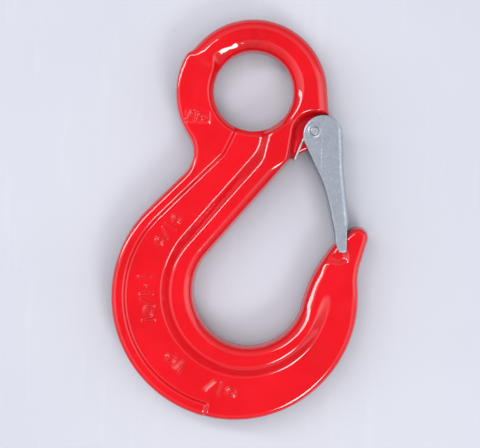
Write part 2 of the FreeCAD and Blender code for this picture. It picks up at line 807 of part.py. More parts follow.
def build_spring():
    """A bridge under the ear, a leg up each face of it, the coils, and a leg down the spine each side."""
    clear = size("wire_radius") + size("wire_gap")
    coil = size("coil_radius")
    bridge_heading = size("bridge_leg_heading")
    spine_heading = size("spine_leg_heading")
    sweep = bridge_heading - spine_heading + 360
    level = size("ear_thickness") / 2 + clear
    rise = size("coil_pitch") * sweep / 360
    outer_level = level + rise
    coil_start = polar(PIN, coil, bridge_heading + 90)
    coil_end = polar(PIN, coil, spine_heading + 90)
    bridge = line_meets_circle(coil_start, bridge_heading + 180, EAR_ROOT,
                               size("ear_root_radius") - clear - 0.05, leaving=False)
    spine = spine_point(size("spine_leg_drop"), size("latch_sheet") + clear)
    toe = spine_point(size("spine_leg_drop") + size("spine_leg_toe"), size("latch_sheet") + clear)
    half = wire_run(raised(bridge, 0), raised(bridge, level))
    half = half.fuse(wire_run(raised(bridge, level), raised(coil_start, level)))
    half = half.fuse(coil_turns(level, rise))
    half = half.fuse(wire_run(raised(spine, outer_level), raised(coil_end, outer_level)))
    half = half.fuse(wire_run(raised(toe, outer_level), raised(spine, outer_level)))
    spring = doc.addObject("Part::Feature", "latch_spring")
    spring.Label = "latch_spring"
    spring.Shape = half.fuse(half.mirror(Vector(), Vector(0, 0, 1)))
    spring.Placement = Placement()
    return spring


# ---------------------------------------------------------------- build, check and write

def check(parts):
    for item in doc.Objects:
        if "Invalid" in item.State or "Error" in item.State:
            raise RuntimeError(f"{item.Name} failed: {item.State}")
    for part in parts:
        shape = part.Shape
        if shape.isNull() or not shape.isValid() or len(shape.Solids) != 1:
            raise RuntimeError(f"{part.Label} is not one valid solid")


subparts = [build_hook(), build_latch(), build_pin(), build_spring()]
doc.recompute()
check(subparts)
for subpart in subparts:
    subpart.Shape.exportStep(f"parts/{subpart.Label}.step")
    print(subpart.Label, round(subpart.Shape.Volume, 1))
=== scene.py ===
import cmath
import json
import math

import bmesh
import bpy
import numpy as np
import openvdb
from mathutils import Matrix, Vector


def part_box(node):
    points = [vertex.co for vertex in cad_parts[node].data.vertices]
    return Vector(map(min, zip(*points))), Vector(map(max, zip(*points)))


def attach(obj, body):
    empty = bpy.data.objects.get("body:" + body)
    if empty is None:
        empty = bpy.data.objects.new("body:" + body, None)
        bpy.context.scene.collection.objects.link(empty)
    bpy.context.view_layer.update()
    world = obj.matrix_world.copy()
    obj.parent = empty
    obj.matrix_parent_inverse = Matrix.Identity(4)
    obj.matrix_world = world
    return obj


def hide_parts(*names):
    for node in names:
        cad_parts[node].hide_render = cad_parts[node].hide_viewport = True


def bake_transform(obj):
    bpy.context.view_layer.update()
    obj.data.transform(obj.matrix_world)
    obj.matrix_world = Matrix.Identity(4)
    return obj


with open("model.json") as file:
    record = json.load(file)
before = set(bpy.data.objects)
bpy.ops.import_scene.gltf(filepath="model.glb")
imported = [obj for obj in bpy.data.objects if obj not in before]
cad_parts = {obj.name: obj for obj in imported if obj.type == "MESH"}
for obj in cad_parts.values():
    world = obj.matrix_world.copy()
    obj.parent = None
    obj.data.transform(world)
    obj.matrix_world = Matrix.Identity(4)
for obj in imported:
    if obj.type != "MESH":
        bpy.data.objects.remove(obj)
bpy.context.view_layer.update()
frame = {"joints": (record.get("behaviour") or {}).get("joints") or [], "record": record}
METRE = 0.001
HOOK_LOW, HOOK_HIGH = [np.array(corner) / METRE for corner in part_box("hook_body")]
LATCH_LOW, LATCH_HIGH = [np.array(corner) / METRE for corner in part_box("latch")]
PIN_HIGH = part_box("latch_pin")[1].z / METRE
PIVOT = frame["joints"][0]["pos_m"]
PIN = complex(PIVOT[0], PIVOT[1]) / METRE
BORE_RADIUS = next(m for m in frame["record"]["mounts"] if m["name"] == "eye_bore")["dims"]["r_mm"]

# eye
EYE = -0.8j
EYE_RADIUS = 33.5
LOBE_RADIUS = 35.1
LOBE_STEP = (145.5, 149.5)
RING_HEIGHT = 9.0
LOBE_HEIGHT = 7.7
LAND_HEIGHT = 4.0
FLARE_NARROW = 20.1
FLARE_WIDE = 22.9
FLARE_LEFT = -18.3
FLARE_SWELL = 0.9
FLARE_WIDENS = (-48, 18)
FLARE_SWELLS = (105, 140)
RING_ROUNDNESS = 0.65
RING_ROUND_RIGHT = (-60, -30)
RING_ROUND_LEFT = (152, 120)
RING_REACH = 11.5
EAR_LEVEL = -30
LOBE_FALL = (142, 158)
RING_ENDS = (290, 143)
PAD_DEPTH = 0.45
WORN_DEPTH = 0.36
WORN_LIP_RADIUS = 21.0
WORN_LIP_BEARING = 112
WORN_LIP_SPREAD = 9
WORN_SEAT = 18.4 - 24.5j
WORN_SEAT_SPREAD = 4
WORN_GRAIN = 0.8
# bowl, back, shank and neck
BOWL = -89.1j
BOWL_RADIUS = 24.5
BACK = -6.1 - 91.9j
BACK_RADIUS = 55.7
INNER = 50.0
OUTER = 45.3
NECK_RADIUS = 13.0
# point
TIP = 48.2 - 64.2j
TIP_RADIUS = 5.2
TIP_HEADING = 74.0
TIP_ROOT_RADIUS = 28.0
TIP_INNER_RADIUS = 62.0
# web, flange and rim: heights are above the mid-plane
WEB_HEIGHT = 5.5
FLANGE = -1.5 - 90j
FLANGE_HEIGHT = float(HOOK_HIGH[2])
FLANGE_RADIUS = 33.2
FLANGE_SLOPE = 4.4
FLANGE_LEAN = 74.5
FLANGE_LEAN_SPREAD = 5.5
FLANGE_SHANK = 47
FLANGE_BEND_RADIUS = 14
FLANGE_BEND_END = -13
FLANGE_EAR_BEARING = 125
FLANGE_CORNER = 21 - 12j
FLANGE_END_DROP = 76.2
FLANGE_END_SLOPE = 1.8
FLANGE_END_HEIGHT = 7.9
FLANGE_TOP_HEIGHT = 9.6
FLANGE_FADE = (-116, -84)
CHANNEL_HEIGHT = 5.9
CHANNEL_CLIMB = (48, 19)
POINT_HEIGHT = 7.5
POINT_CLIMB = (-104, -86)
POINT_CLIMB_RIGHT = (20, 30)
POCKET_DEPTH = 1.7
POCKET_CORNER = 43.4 - 73.9j
POCKET_HEADING = 16
POCKET_LOW = (-2.2, 1.2)
POCKET_HIGH = (11, 7)
POCKET_LEFT = (-12, -4)
POCKET_RIGHT = (1.8, -1.6)
FALL_RUN = 64.0
RIM_HEIGHT = 7.2
RIM_WIDTH = 6.4
RIM_SLOPE = 1.5
RIM_END = 257.0
RIM_SHANK = 18.8
RIM_CORNER = -8.3 - 19.2j
RIM_CLIMB = (-44, -22)
LOBE_HEADING = 143
DRAFT = 0.1
POINT_DRAFT = 0.16
POINT_DRAFT_CORNER = 24 - 50j
DRAFT_SOFTNESS = 3
PARTING_HEIGHT = 0.1
PARTING_WIDTH = 0.7
# the forged skin's waves, and how far it is set back so that they stay inside the CAD's box
FACE_SOFTNESS = 0.4
FACE_WAVES = 0.07
FACE_SETBACK = 0.1
SIDE_WAVES = 0.09
SIDE_SETBACK = 0.13
JOG_SPREAD = 4.5
JOG_SOFTNESS = 1.3
# how round the edges are
RING_EDGE = 5.0
LOBE_EDGE = 1.7
THROAT_EDGE = 4.3
BACK_EDGE = 2.3
POINT_EDGE = 2.2
EAR_EDGE = 1.3
BORE_EDGE = 0.5
# ear and its recess
EAR_RADIUS = 7.6
EAR_ROOT_RADIUS = 23.0
EAR_HEIGHT = 3.8
SEAT = 27.8 - 18.6j
SEAT_RADIUS = 9.9
SEAT_SLOPE = 2.4
SEAT_INSET = 1.7
SEAT_FOOT = 2.8
SEAT_FOOT_HEADING = 72
SEAT_FOOT_LEAN = 6
# latch
LATCH_HEIGHT = 9.0
SHEET = 1.8
BEND_RADIUS = 2.5
CUT_RADIUS = 0.5
CROWN = 31.3 - 19j
CROWN_RADIUS = 8.8
CHEEK_HEADING = 206.4
CHEEK_STRAIGHT = 15
BOW_RADIUS = 62
BOW_END = 372.4
FINGER_LENGTH = 12.6
SPINE_BEND = 34
SPINE_END = 57.6
SPINE_LEANS = (3, 7)
HOLLOW_TOP = 14.6
SHOULDER_STEP = 0.8 + 3j
TOE_LEVEL = -71
TOE_INSETS = (3.3, 1.0)
TOE_RADIUS = 1
FINGER_DEPTH = 3.8
FINGER_HEADING = 273
REST_DROP = 60.5
REST_GAP = 0.15
BEND_FADE = (3, 5)
BEND_FADE_END = -22
LIP_RADIUS = 2.7
PIN_RADIUS = 2.25
HEAD_RADIUS = 1.85
WIRE_RADIUS = 0.5
BRIDGE_HEADING = 68.0
LEG_HEADING = -68.6
COIL_RADIUS = 2.95
COIL_PITCH = 1.05
WIRE_GAP = 0.12
LEG_DROPS = (38, 42)
# how fine the meshes are
HOOK_PITCH = 0.69
LATCH_PITCH = 0.3
PIN_PITCH = 0.25


# ------------------------ geometry in the plane

def polar(centre, radius, degrees):
    return centre + cmath.rect(radius, math.radians(degrees))


def bearing(centre, point):
    return math.degrees(cmath.phase(point - centre))


def foot_on_line(point, on_line, heading):
    way = polar(0, 1, heading)
    return on_line + way * ((point - on_line) * way.conjugate()).real


def line_meets_circle(point, heading, centre, radius, leaving=True):
    foot = foot_on_line(centre, point, heading)
    along = math.sqrt(radius ** 2 - abs(foot - centre) ** 2)
    return polar(foot, along if leaving else -along, heading)


def circles_meet(first, first_radius, second, second_radius):
    span = second - first
    along = (first_radius ** 2 - second_radius ** 2 + abs(span) ** 2) / (2 * abs(span))
    across = math.sqrt(first_radius ** 2 - along ** 2)
    way = span / abs(span)
    return first + way * along + way * 1j * across


def line(start, end):
    return ("line", start, end)


def arc(centre, radius, first, last):
    return ("arc", centre, radius, first, last)


def ends(piece):
    if piece[0] == "line":
        return piece[1], piece[2]
    centre, radius, first, last = piece[1:]
    return polar(centre, radius, first), polar(centre, radius, last)


def points_on(piece):
    """Points along a piece, about half a millimetre apart on an arc, without its last point."""
    if piece[0] == "line":
        return [piece[1]]
    centre, radius, first, last = piece[1:]
    degrees_times_radius = 30
    count = max(2, int(abs(last - first) * radius / degrees_times_radius) + 1)
    return [polar(centre, radius, first + (last - first) * k / count) for k in range(count)]


def distance_to(pieces, x, y):
    """The distance from each place to the nearest of the pieces."""
    place = x + 1j * y
    nearest = np.full(x.shape, np.inf)
    for piece in pieces:
        if piece[0] == "line":
            start, end = piece[1:]
            way = (end - start) / abs(end - start)
            along = np.clip(((place - start) * way.conjugate()).real, 0, abs(end - start))
            gap = abs(place - start - along * way)
        else:
            centre, radius, first, last = piece[1:]
            middle = math.radians((first + last) / 2)
            turn = np.angle((place - centre) * cmath.exp(-1j * middle))
            within = abs(turn) <= math.radians(abs(last - first) / 2)
            start, end = ends(piece)
            gap = np.where(within, abs(abs(place - centre) - radius),
                           np.minimum(abs(place - start), abs(place - end)))
        nearest = np.minimum(nearest, gap)
    return nearest


# ------------------------ maps of a quantity over the plane

class Field:
    """A square grid over part of the plane, and smooth lookup of maps drawn on it."""

    def __init__(self, low, high, step):
        self.low = np.array(low[:2], float)
        self.step = step
        self.count = np.ceil((np.array(high[:2]) - self.low) / step).astype(int) + 1
        self.xs = self.low[0] + step * np.arange(self.count[0])
        self.ys = self.low[1] + step * np.arange(self.count[1])
        self.x, self.y = np.meshgrid(self.xs, self.ys, indexing="ij")

    def signed(self, loop):
        """The distance to a closed loop, negative inside it."""
        corners = np.array([point for piece in loop for point in points_on(piece)])
        following = np.roll(corners, -1)
        inside = np.zeros(self.x.shape, bool)
        for column, level in enumerate(self.ys):
            crossing = (corners.imag > level) != (following.imag > level)
            first, second = corners[crossing], following[crossing]
            share = (level - first.imag) / (second.imag - first.imag)
            cuts = np.sort(first.real + share * (second.real - first.real))
            inside[:, column] = np.searchsorted(cuts, self.xs) % 2 == 1
        return np.where(inside, -1, 1) * distance_to(loop, self.x, self.y)

    def look(self, values, x, y):
        """Reads a map between its grid points."""
        along = np.clip((x - self.low[0]) / self.step, 0, self.count[0] - 1.001)
        across = np.clip((y - self.low[1]) / self.step, 0, self.count[1] - 1.001)
        i, j = along.astype(int), across.astype(int)
        u, v = along - i, across - j
        return ((values[i, j] * (1 - u) + values[i + 1, j] * u) * (1 - v)
                + (values[i, j + 1] * (1 - u) + values[i + 1, j + 1] * u) * v)

    def blur(self, values, spread):
        """Smooths a map by a bell curve whose spread is in millimetres."""
        pad = int(4 * spread / self.step) + 1
        padded = np.pad(values, pad, mode="edge")
        fx = np.fft.fftfreq(padded.shape[0], self.step)[:, None]
        fy = np.fft.rfftfreq(padded.shape[1], self.step)[None, :]
        bell = np.exp(-2 * (math.pi * spread) ** 2 * (fx ** 2 + fy ** 2))
        smooth = np.fft.irfft2(np.fft.rfft2(padded) * bell, padded.shape)
        return smooth[pad:-pad, pad:-pad]

    def ripple(self, spread, seed):
        """A smooth random map between -1 and 1, whose bumps are a few spreads across."""
        rough = np.random.default_rng(seed).standard_normal(self.x.shape)
        smooth = self.blur(rough, spread)
        return smooth / abs(smooth).max()

    def run_out(self, values, outline):
        """Carries a map's values at an outline straight on outside it."""
        gx, gy = np.gradient(outline, self.step)
        inset = 0.6
        back = np.maximum(outline + inset, 0)
        return self.look(values, self.x - back * gx, self.y - back * gy)


def smooth_step(value, first=0.0, last=1.0):
    share = np.clip((value - first) / (last - first), 0, 1)
    return share * share * (3 - 2 * share)


def round_max(one, other, radius):
    """The larger of two signed distances, with a rounded corner between them."""
    a, b = one + radius, other + radius
    return np.hypot(np.maximum(a, 0), np.maximum(b, 0)) + np.minimum(np.maximum(a, b), 0) - radius


def round_min(one, other, radius):
    return -round_max(-one, -other, radius)


# ------------------------ the hook's outline

SHANK_INNER = polar(BOWL, BOWL_RADIUS, INNER + 90)
SHANK_OUTER = polar(BACK, BACK_RADIUS, OUTER + 90)
NECK = line_meets_circle(polar(SHANK_OUTER, NECK_RADIUS, OUTER + 90), OUTER,
                         EYE, LOBE_RADIUS + NECK_RADIUS, leaving=False)
NECK_FOOT = foot_on_line(NECK, SHANK_OUTER, OUTER)
TIP_OUTER = polar(TIP, TIP_RADIUS, TIP_HEADING - 90)
TIP_ROOT = line_meets_circle(polar(TIP_OUTER, TIP_ROOT_RADIUS, TIP_HEADING - 90), TIP_HEADING,
                             BACK, BACK_RADIUS + TIP_ROOT_RADIUS)
TIP_ROOT_FOOT = foot_on_line(TIP_ROOT, TIP_OUTER, TIP_HEADING)
TIP_INNER = circles_meet(TIP, TIP_INNER_RADIUS - TIP_RADIUS, BOWL, BOWL_RADIUS + TIP_INNER_RADIUS)
EAR_ROOT = line_meets_circle(polar(SHANK_INNER, EAR_ROOT_RADIUS, INNER - 90), INNER,
                             PIN, EAR_RADIUS + EAR_ROOT_RADIUS, leaving=False)
EAR_ROOT_FOOT = foot_on_line(EAR_ROOT, SHANK_INNER, INNER)
EAR_BEARING = bearing(EYE, PIN) + math.degrees(math.acos((EYE_RADIUS - EAR_RADIUS) / abs(PIN - EYE)))
EAR_TOP = polar(PIN, EAR_RADIUS, EAR_BEARING)
EYE_RIGHT = polar(EYE, EYE_RADIUS, EAR_BEARING)

RING_SIDE = [arc(EYE, EYE_RADIUS, EAR_BEARING, LOBE_STEP[0])]
LOBE_SIDE = [
    line(polar(EYE, EYE_RADIUS, LOBE_STEP[0]), polar(EYE, LOBE_RADIUS, LOBE_STEP[1])),
    arc(EYE, LOBE_RADIUS, LOBE_STEP[1], bearing(EYE, NECK) + 360),
]
BACK_SIDE = [
    arc(NECK, NECK_RADIUS, bearing(NECK, EYE), OUTER - 90),
    line(NECK_FOOT, SHANK_OUTER),
    arc(BACK, BACK_RADIUS, OUTER + 90, RIM_END),
]
POINT_SIDE = [
    arc(BACK, BACK_RADIUS, RIM_END, bearing(BACK, TIP_ROOT) + 360),
    arc(TIP_ROOT, TIP_ROOT_RADIUS, bearing(TIP_ROOT, BACK) + 360, TIP_HEADING + 90),
    line(TIP_ROOT_FOOT, TIP_OUTER),
    arc(TIP, TIP_RADIUS, TIP_HEADING - 90, bearing(TIP_INNER, TIP)),
]
EAR_SIDE = [
    arc(EAR_ROOT, EAR_ROOT_RADIUS, INNER + 90, bearing(EAR_ROOT, PIN)),
    arc(PIN, EAR_RADIUS, bearing(PIN, EAR_ROOT), EAR_BEARING),
    line(EAR_TOP, EYE_RIGHT),
]


def throat_side(first):
    return [
        arc(TIP_INNER, TIP_INNER_RADIUS, first, bearing(TIP_INNER, BOWL)),
        arc(BOWL, BOWL_RADIUS, bearing(BOWL, TIP_INNER), INNER + 90 - 360),
        line(SHANK_INNER, EAR_ROOT_FOOT),
    ]


OUTLINE = (RING_SIDE + LOBE_SIDE + BACK_SIDE + POINT_SIDE
           + throat_side(bearing(TIP_INNER, TIP)) + EAR_SIDE)


def throat_bearing(height):
    """Where the point's throat side is at this height, as a bearing from its middle."""
    return 180 - math.degrees(math.asin((height - TIP_INNER.imag) / TIP_INNER_RADIUS))


def flange_loop(spread):
    """The flange's outline: spread is 0 at its top and 1 where its slope meets the web."""
    radius = FLANGE_RADIUS + spread * FLANGE_SLOPE
    lean = FLANGE_LEAN + FLANGE_LEAN_SPREAD * spread
    end_height = spread * FLANGE_END_SLOPE - FLANGE_END_DROP
    outer_start = polar(FLANGE, radius, lean - 90)
    rise = end_height - outer_start.imag
    outer_end = polar(outer_start, rise / math.sin(math.radians(lean)), lean)
    inner = throat_bearing(end_height)
    shank_foot = polar(FLANGE, radius, INNER + 90)
    bend_start = polar(shank_foot, FLANGE_SHANK, INNER)
    bend = polar(bend_start, FLANGE_BEND_RADIUS, INNER + 90)
    bend_end = polar(bend, FLANGE_BEND_RADIUS, FLANGE_BEND_END)
    run_into_bore = 10
    in_bore = polar(bend_end, run_into_bore, FLANGE_BEND_END + 90)
    return [
        line(outer_end, polar(TIP_INNER, TIP_INNER_RADIUS, inner)),
        *throat_side(inner),
        arc(EAR_ROOT, EAR_ROOT_RADIUS, INNER + 90, FLANGE_EAR_BEARING),
        line(polar(EAR_ROOT, EAR_ROOT_RADIUS, FLANGE_EAR_BEARING), FLANGE_CORNER),
        line(FLANGE_CORNER, in_bore),
        line(in_bore, bend_end),
        arc(bend, FLANGE_BEND_RADIUS, FLANGE_BEND_END, INNER - 90),
        line(bend_start, shank_foot),
        arc(FLANGE, radius, INNER + 90, lean + 270),
        line(outer_start, outer_end),
    ]


def closed(corners):
    return [line(one, two) for one, two in zip(corners, corners[1:] + corners[:1])]


def seat_loop():
    """The recess round the ear: it is drawn well past the outline on the right and below."""
    low_left = polar(EAR_ROOT_FOOT, SEAT_FOOT, SEAT_FOOT_HEADING)
    far_right, below = 60, -45j
    corners = [SEAT - SEAT_RADIUS, low_left, low_left.real + SEAT_FOOT_LEAN + below, far_right + below,
               complex(far_right, SEAT.imag), SEAT + SEAT_RADIUS]
    return [arc(SEAT, SEAT_RADIUS, 0, 180)] + closed(corners)[:-1]


RIM_BEND = polar(polar(NECK_FOOT, RIM_WIDTH, OUTER - 90), RIM_SHANK, OUTER)


def rim_loop():
    """The raised band along the back, with the eye's lobe: it is drawn well past the outline."""
    inset = BACK_RADIUS - RIM_WIDTH
    far_left, above, below = -120, 48j, -180j
    past_lobe, past_back = 80, 90
    corners = [polar(BACK, inset, OUTER + 90), RIM_BEND, RIM_CORNER, 0j,
               polar(0, past_lobe, LOBE_HEADING), far_left + above, far_left + below,
               polar(BACK, past_back, RIM_END), polar(BACK, inset, RIM_END)]
    return [arc(BACK, inset, RIM_END, OUTER + 90)] + closed(corners)[:-1]


# ------------------------ generic forging marks

RING_MARK = "ring"
BAR_MARK = "bar"
SLASH_MARK = "slash"
DOT_MARK = "dot"
ARROW_MARK = "arrow"


def mark_strokes(kind, size):
    """A mark's strokes, drawn about its own middle with its top along +Y."""
    half = size / 2
    ring_radius = half * 0.72
    lean = half * 0.6
    dot = 0.15
    if kind == RING_MARK:
        return [arc(0, ring_radius, 0, 360)]
    if kind == BAR_MARK:
        return [line(-1j * half, 1j * half)]
    if kind == SLASH_MARK:
        return [line(-lean - 1j * half, lean + 1j * half)]
    if kind == DOT_MARK:
        return [line(-dot, dot)]
    return [line(-lean - 1j * half, 1j * half), line(1j * half, lean - 1j * half)]


MARK_HEIGHT = 0.85
MARK_EDGE = (0.33, 0.74)
MARK_MARGIN = (0.5, 0.9)
PAD_MIDDLE = -24.6 - 11.9j
PAD_HEADING = -2.0
PAD_LENGTH = 11.2
PAD_WIDTH = 5.8
PAD_CORNER = 0.8
PAD_SLOPE = 0.8
# the middle of a row, its heading, the marks' size, their spacing and their kinds
MARK_ROWS = [
    (PAD_MIDDLE, PAD_HEADING, 3.2, 2.5, [SLASH_MARK, BAR_MARK, RING_MARK, DOT_MARK]),
    (-36.6 - 62.9j, 54.0, 4.6, 4.1, [RING_MARK, SLASH_MARK, BAR_MARK, RING_MARK]),
    (-45.3 - 93.6j, 97.0, 5.0, 3.9, [BAR_MARK, RING_MARK, SLASH_MARK, BAR_MARK, DOT_MARK, BAR_MARK]),
    (-31.9 - 121.6j, -38.0, 5.2, 5.4, [RING_MARK, ARROW_MARK]),
    (-11.6 - 133.1j, -17.0, 5.2, 5.0, [SLASH_MARK, BAR_MARK, RING_MARK]),
]


# ------------------------ the hook's maps

def flare_width(x, y):
    """How wide the bore's flare is: narrow on the lobe's side, wide round the ring."""
    turn = np.degrees(np.angle(x + 1j * y))
    wide = FLARE_NARROW + (FLARE_WIDE - FLARE_NARROW) * smooth_step(turn, *FLARE_WIDENS)
    wide = wide + FLARE_SWELL * smooth_step(turn, *FLARE_SWELLS)
    to_left = np.minimum(np.cos(np.radians(turn)), -0.1)
    wide = np.maximum(np.minimum(wide, FLARE_LEFT / to_left), FLARE_NARROW)
    return np.where(turn > FLARE_WIDENS[0], wide, FLARE_NARROW) - BORE_RADIUS


def mark_map(field, rows):
    """How far each place is from the nearest stroke of the marks."""
    place = field.x + 1j * field.y
    gaps = np.full(place.shape, np.inf)
    for middle, heading, size, spacing, kinds in rows:
        for number, kind in enumerate(kinds):
            centre = polar(middle, (number - (len(kinds) - 1) / 2) * spacing, heading)
            near = abs(place - centre) < size
            local = (place[near] - centre) * polar(0, 1, -heading)
            gap = distance_to(mark_strokes(kind, size), local.real, local.imag)
            gaps[near] = np.minimum(gaps[near], gap)
    return gaps


def pad_map(field):
    """The sunken pad on the lobe: 1 inside it, 0 outside."""
    local = (field.x + 1j * field.y - PAD_MIDDLE) * polar(0, 1, -PAD_HEADING)
    gap = round_max(abs(local.real) - PAD_LENGTH / 2, abs(local.imag) - PAD_WIDTH / 2, PAD_CORNER)
    return 1 - smooth_step(gap, -PAD_SLOPE / 2, PAD_SLOPE / 2)


def bump_at(place, centre, spread):
    """1 at a centre, falling away to 0 a few spreads from it."""
    return np.exp(-(abs(place - centre) / spread) ** 2)


def on_point_side(field, first):
    """Places right of this x, below the ear."""
    below_ear = field.y < -45
    return (field.x > first) * below_ear


def flange_height(field):
    """How far up its slope each place of the flange is, and the height of the flange's top."""
    place = field.x + 1j * field.y
    inside_foot = np.maximum(-field.signed(flange_loop(1)), 0)
    outside_top = np.maximum(field.signed(flange_loop(0)), 0)
    slope = inside_foot / (inside_foot + outside_top + 1e-6)
    climb = ((place - SHANK_INNER) * polar(0, 1, -INNER)).real / FALL_RUN
    top = FLANGE_HEIGHT - (FLANGE_HEIGHT - FLANGE_TOP_HEIGHT) * np.clip(climb, 0, 1)
    to_point = smooth_step(field.y, *FLANGE_FADE) * on_point_side(field, 10)
    return slope, top - (FLANGE_HEIGHT - FLANGE_END_HEIGHT) * to_point


def web_height(field):
    """The web: it rises a little towards the bore and the point, where the latch's toe has a pocket."""
    place = field.x + 1j * field.y
    to_bore = smooth_step(abs(place), *CHANNEL_CLIMB)
    height = WEB_HEIGHT + (CHANNEL_HEIGHT - WEB_HEIGHT) * to_bore * (field.x < POINT_CLIMB_RIGHT[0])
    to_point = smooth_step(field.y, *POINT_CLIMB) * smooth_step(field.x, *POINT_CLIMB_RIGHT)
    to_point = to_point * on_point_side(field, POINT_CLIMB_RIGHT[0])
    height = height + (POINT_HEIGHT - WEB_HEIGHT) * to_point
    local = (place - POCKET_CORNER) * polar(0, 1, -POCKET_HEADING)
    pocket = smooth_step(local.imag, *POCKET_LOW) * smooth_step(local.imag, *POCKET_HIGH)
    pocket = pocket * smooth_step(local.real, *POCKET_LEFT) * smooth_step(local.real, *POCKET_RIGHT)
    return height - POCKET_DEPTH * pocket


def face_height(field):
    """The height of the hook's face before wear, marks and edges."""
    x, y = field.x, field.y
    place = x + 1j * y
    turn = np.degrees(np.angle(place - EYE)) % 360
    low = web_height(field)

    lobe = LOBE_HEIGHT + (RING_HEIGHT - LOBE_HEIGHT) * (1 - smooth_step(turn, *LOBE_FALL))
    rim = RIM_HEIGHT + (lobe - RIM_HEIGHT) * smooth_step(y, *RIM_CLIMB)
    step = smooth_step(-field.signed(rim_loop()), -RIM_SLOPE / 2, RIM_SLOPE / 2)
    height = low + (rim - low) * step
    above_ear = y > EAR_LEVEL
    ring = (turn < RING_ENDS[1]) | (turn > RING_ENDS[0]) & above_ear
    near_eye = abs(place - EYE) < EYE_RADIUS + RING_REACH
    height = np.where(ring & near_eye & above_ear, RING_HEIGHT, height)
    slope, top = flange_height(field)
    height = np.maximum(height, low + (top - low) * slope)

    flare = np.clip((abs(place) - BORE_RADIUS) / flare_width(x, y), 0, 1)
    bearings = np.degrees(np.angle(place))
    on_ring = smooth_step(bearings, *RING_ROUND_RIGHT) * smooth_step(bearings, *RING_ROUND_LEFT)
    swell = flare + RING_ROUNDNESS * on_ring * (np.sqrt(1 - (1 - flare) ** 2) - flare)
    height = LAND_HEIGHT + (height - LAND_HEIGHT) * swell
    off_seat = np.maximum(field.signed(seat_loop()) + SEAT_INSET, 0)
    height = np.minimum(height, EAR_HEIGHT + SEAT_SLOPE * off_seat)
    return height - PAD_DEPTH * pad_map(field)


def edge_radius(field):
    """How round the edge of the face is, by the nearest part of the outline."""
    x, y = field.x, field.y
    point_end, throat_end = -75, -76
    short_of_ear = -6
    point_inside = arc(TIP_INNER, TIP_INNER_RADIUS, bearing(TIP_INNER, TIP), throat_bearing(point_end))
    shank_inside = line(SHANK_INNER, polar(EAR_ROOT_FOOT, short_of_ear, INNER))
    throat = throat_side(throat_bearing(throat_end))[:2] + [shank_inside]
    gaps = [
        (distance_to(RING_SIDE + EAR_SIDE[2:], x, y), RING_EDGE),
        (distance_to(LOBE_SIDE, x, y), LOBE_EDGE),
        (distance_to(throat, x, y), THROAT_EDGE),
        (distance_to(BACK_SIDE + POINT_SIDE[:1], x, y), BACK_EDGE),
        (distance_to(POINT_SIDE[1:] + [point_inside], x, y), POINT_EDGE),
        (distance_to(EAR_SIDE[:2], x, y), EAR_EDGE),
    ]
    nearest = np.argmin([gap for gap, radius in gaps], axis=0)
    spread = 2.2
    return field.blur(np.array([radius for gap, radius in gaps])[nearest], spread)


def hook_maps(field):
    """Everything that the hook's solid reads: outline, face height, edges, draft and the face's tilt."""
    x, y = field.x, field.y
    place = x + 1j * y
    outline = field.signed(OUTLINE)
    height = field.blur(field.run_out(face_height(field), outline), FACE_SOFTNESS)
    height = height - FACE_SETBACK + FACE_WAVES * field.ripple(2.6, 11)
    worn_lip = polar(0, WORN_LIP_RADIUS, WORN_LIP_BEARING)
    worn = bump_at(place, worn_lip, WORN_LIP_SPREAD) + bump_at(place, WORN_SEAT, WORN_SEAT_SPREAD)
    height = height + WORN_DEPTH * worn * field.ripple(WORN_GRAIN, 5)
    height = height + MARK_HEIGHT * (1 - smooth_step(mark_map(field, MARK_ROWS), *MARK_EDGE))

    jog = polar(EYE, LOBE_RADIUS, sum(LOBE_STEP) / 2)
    outline = outline + bump_at(place, jog, JOG_SPREAD) * (field.blur(outline, JOG_SOFTNESS) - outline)
    outline = outline + SIDE_SETBACK + SIDE_WAVES * field.ripple(2.2, 23)
    gx, gy = np.gradient(height, field.step)
    on_point = (x > POINT_DRAFT_CORNER.real) & (y < POINT_DRAFT_CORNER.imag)
    return {"outline": outline, "height": height, "radius": edge_radius(field),
            "draft": field.blur(np.where(on_point, POINT_DRAFT, DRAFT), DRAFT_SOFTNESS),
            "tilt": np.sqrt(1 + gx ** 2 + gy ** 2)}


def hook_solid():
    """The hook as a function that gives each place its distance from the surface, negative inside."""
    margin, fineness = 4, 0.25
    field = Field(HOOK_LOW - margin, HOOK_HIGH + margin, fineness)
    maps = hook_maps(field)
    hole_radius = PIN_RADIUS + 0.05
    hole_edge = 0.2

    def solid(x, y, z):
        level = abs(z)
        outline, height, radius, draft, tilt = [
            field.look(maps[name], x, y) for name in ("outline", "height", "radius", "draft", "tilt")]
        parting_line = PARTING_HEIGHT * np.exp(-(z / PARTING_WIDTH) ** 2)
        wall = (outline + draft * level - parting_line) / np.sqrt(1 + draft ** 2)
        body = round_max(wall, (level - height) / tilt, radius)
        body = round_max(body, BORE_RADIUS - np.hypot(x, y), BORE_EDGE)
        return round_max(body, hole_radius - np.hypot(x - PIN.real, y - PIN.imag), hole_edge)

    return solid


# ------------------------ the latch's sheet

SPINE_TOP = CROWN + CROWN_RADIUS


def spine_point(drop, inset=0.0):
    """A point on the back of the spine this far below the bore's middle, or inset from it."""
    upper = min(drop, SPINE_BEND) + CROWN.imag
    lower = max(drop - SPINE_BEND, 0)
    lean, low_lean = [math.tan(math.radians(degrees)) for degrees in SPINE_LEANS]
    return complex(SPINE_TOP.real + upper * lean + lower * low_lean - inset, -drop)


SPINE = [line(spine_point(SPINE_END), spine_point(SPINE_BEND)), line(spine_point(SPINE_BEND), SPINE_TOP)]


